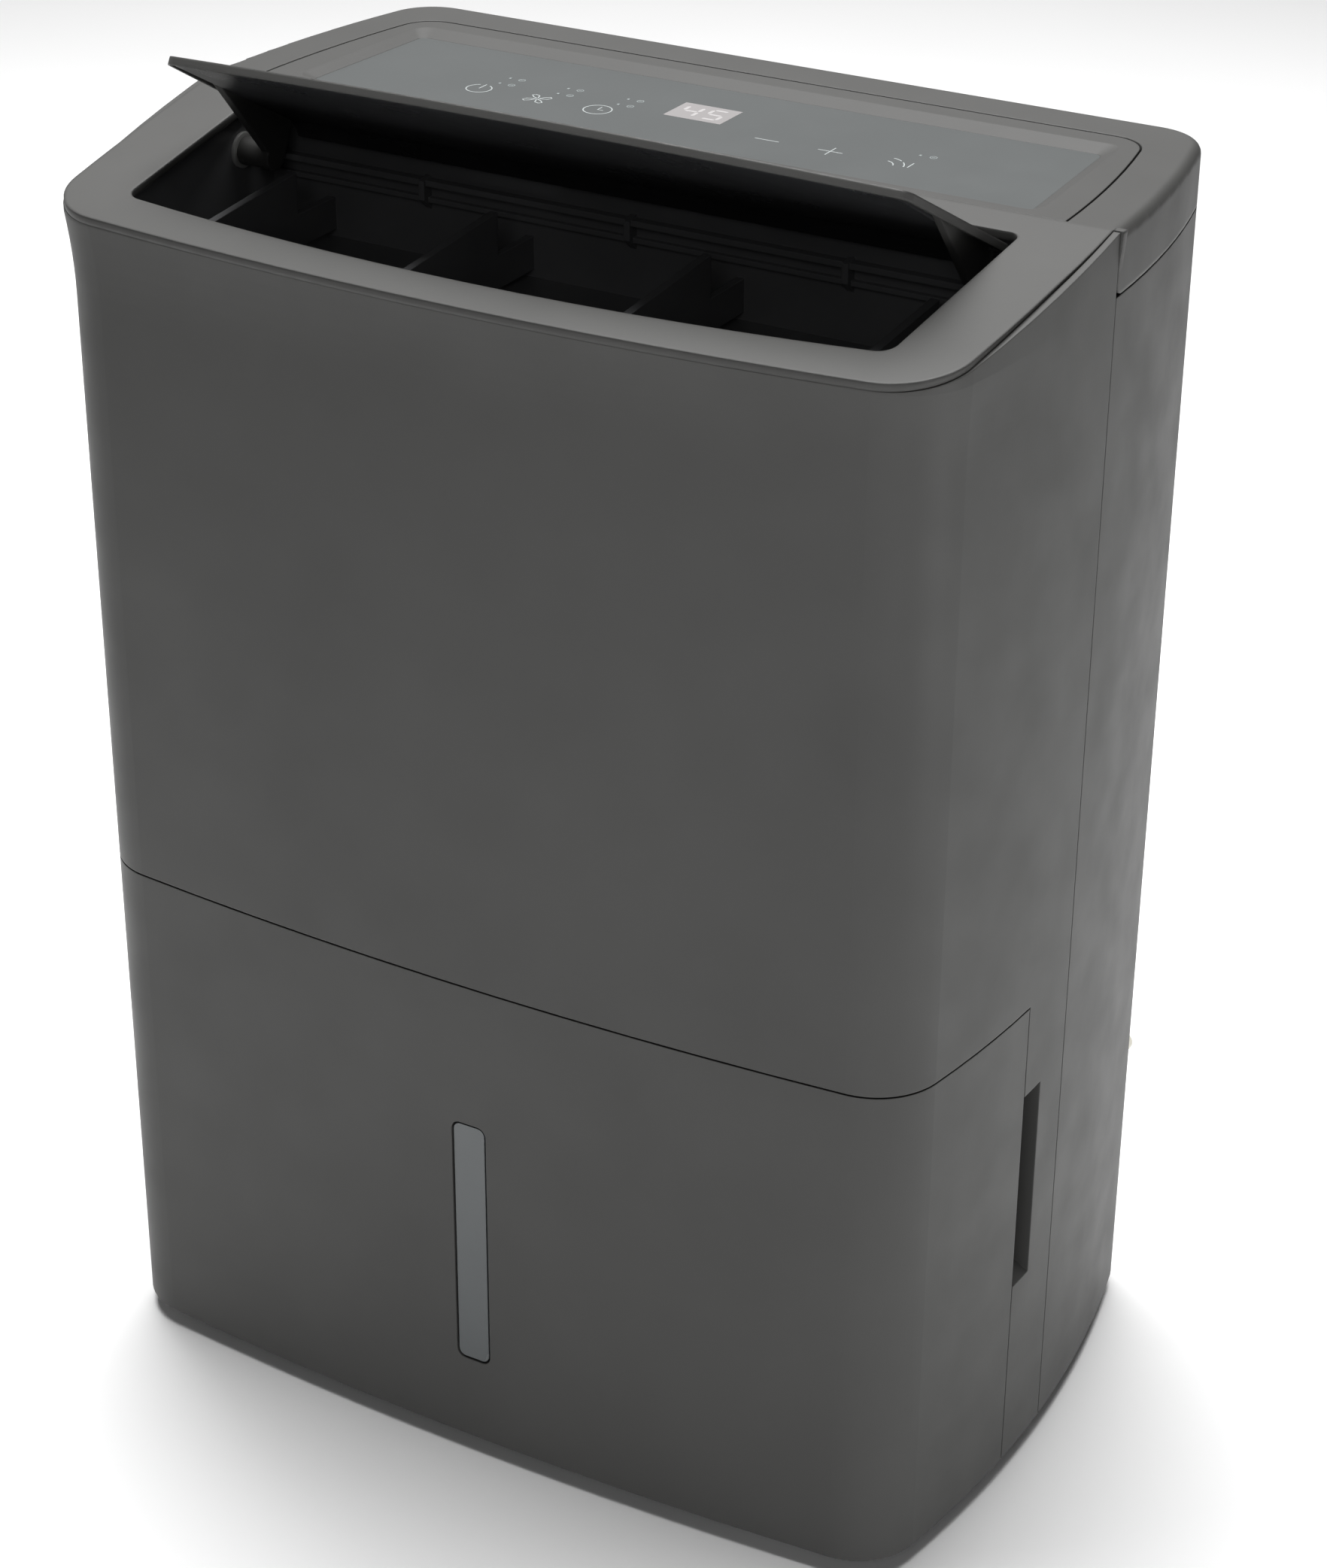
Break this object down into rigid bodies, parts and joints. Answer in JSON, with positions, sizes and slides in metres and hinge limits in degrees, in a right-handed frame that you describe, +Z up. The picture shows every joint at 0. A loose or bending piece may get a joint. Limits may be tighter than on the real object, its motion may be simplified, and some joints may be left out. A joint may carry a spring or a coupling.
{
  "type": "dehumidifier",
  "caption": "Upright compressor dehumidifier: grey casing, top outlet with a hinged flap, touch panel, pull-out front bucket with water window, rear intake with filter.",
  "frame": {"origin": "on the floor, under the middle of the casing", "axes": "+Z up, the front (bucket and water window) faces -Y, +X to the right as seen from the front"},
  "size_m": [0.3822, 0.2583, 0.5479],
  "materials": {
    "casing_plastic": "fine-textured warm dark grey moulded plastic",
    "panel_gloss": "smooth blue-grey printed panel",
    "black_plastic": "black moulded plastic, satin",
    "tub_plastic": "dark smoked tub plastic",
    "window_plastic": "clear window, blue-grey",
    "white_plastic": "natural white plastic",
    "grey_bush": "grey bearing plastic",
    "rubber_black": "black rubber",
    "fin_aluminium": "bare fin stock",
    "copper_tube": "copper tube",
    "steel_plate": "zinc-plated steel",
    "compressor_paint": "black gloss enamel",
    "screw_steel": "zinc-plated screws",
    "board_green": "circuit board",
    "filter_nylon": "black nylon mesh",
    "printed_marks": "pale grey printed signs",
    "display_light": "lit seven-segment digits behind a pale screen",
    "foam_white": "closed-cell foam"
  },
  "bodies": {
    "casing": {"front_cover": "casing_plastic", "top_cover": "casing_plastic", "rear_shell": "casing_plastic", "control_carrier": "casing_plastic", "control_glass": "panel_gloss", "control_board": "board_green", "display_module": "black_plastic", "board_screws": "screw_steel", "outlet_duct": "black_plastic", "flap_bushes": "grey_bush", "flap_motor": "steel_plate", "fan_scroll": "black_plastic", "scroll_cover": "black_plastic", "fan_motor": "steel_plate", "fan_motor_screws": "screw_steel", "base_pan": "black_plastic", "feet": "rubber_black", "partition": "black_plastic", "deck": "black_plastic", "evaporator_fins": "fin_aluminium", "condenser_fins": "fin_aluminium", "evaporator_tube": "copper_tube", "condenser_tube": "copper_tube", "coil_end_plates": "steel_plate", "drain_pan": "white_plastic", "compressor": "compressor_paint", "compressor_grommets": "rubber_black", "compressor_nuts": "screw_steel", "compressor_bolts": "screw_steel", "accumulator": "compressor_paint", "discharge_pipe": "copper_tube", "suction_pipe": "copper_tube", "capillary_tube": "copper_tube", "case_screws": "screw_steel", "cord_inlet": "rubber_black", "drain_hose": "white_plastic", "drain_spigot": "white_plastic", "electrical_box": "white_plastic", "electrical_lid": "white_plastic", "main_board": "board_green", "run_capacitor": "steel_plate", "bucket_switch": "black_plastic", "float_sensor": "black_plastic", "humidity_sensor": "white_plastic"},
    "flap": {"flap": "casing_plastic", "flap_liner": "black_plastic", "flap_pins": "steel_plate"},
    "fan_rotor": {"fan_wheel": "black_plastic", "fan_shaft": "steel_plate", "fan_nut": "screw_steel"},
    "air_filter": {"intake_grille": "casing_plastic", "filter_frame": "black_plastic", "filter_mesh": "filter_nylon"},
    "drain_cap": {"drain_cap": "white_plastic"},
    "bucket": {"bucket_front": "casing_plastic", "bucket_tub": "tub_plastic", "bucket_lid": "tub_plastic", "water_window": "window_plastic"},
    "float": {"float_lever": "white_plastic", "float_block": "foam_white"}
  },
  "joints": [
    {"name": "flap_hinge", "type": "hinge", "parent": "casing", "child": "flap", "pos_m": [0, -0.02, 0.49], "axis": [-1, 0, 0], "range_deg": [-38, 22]},
    {"name": "fan_spin", "type": "hinge", "parent": "casing", "child": "fan_rotor", "pos_m": [-0.022, -0.066, 0.337], "axis": [0, 1, 0], "continuous": true},
    {"name": "filter_pull", "type": "slide", "parent": "casing", "child": "air_filter", "axis": [0, 1, 0], "range_m": [0, 0.06]},
    {"name": "cap_pull", "type": "slide", "parent": "casing", "child": "drain_cap", "axis": [0, 1, 0], "range_m": [0, 0.015]},
    {"name": "bucket_slide", "type": "slide", "parent": "casing", "child": "bucket", "axis": [0, -1, 0], "range_m": [0, 0.2]},
    {"name": "float_swing", "type": "hinge", "parent": "bucket", "child": "float", "pos_m": [-0.105, -0.03, 0.182], "axis": [-1, 0, 0], "range_deg": [0, 25]}
  ]
}
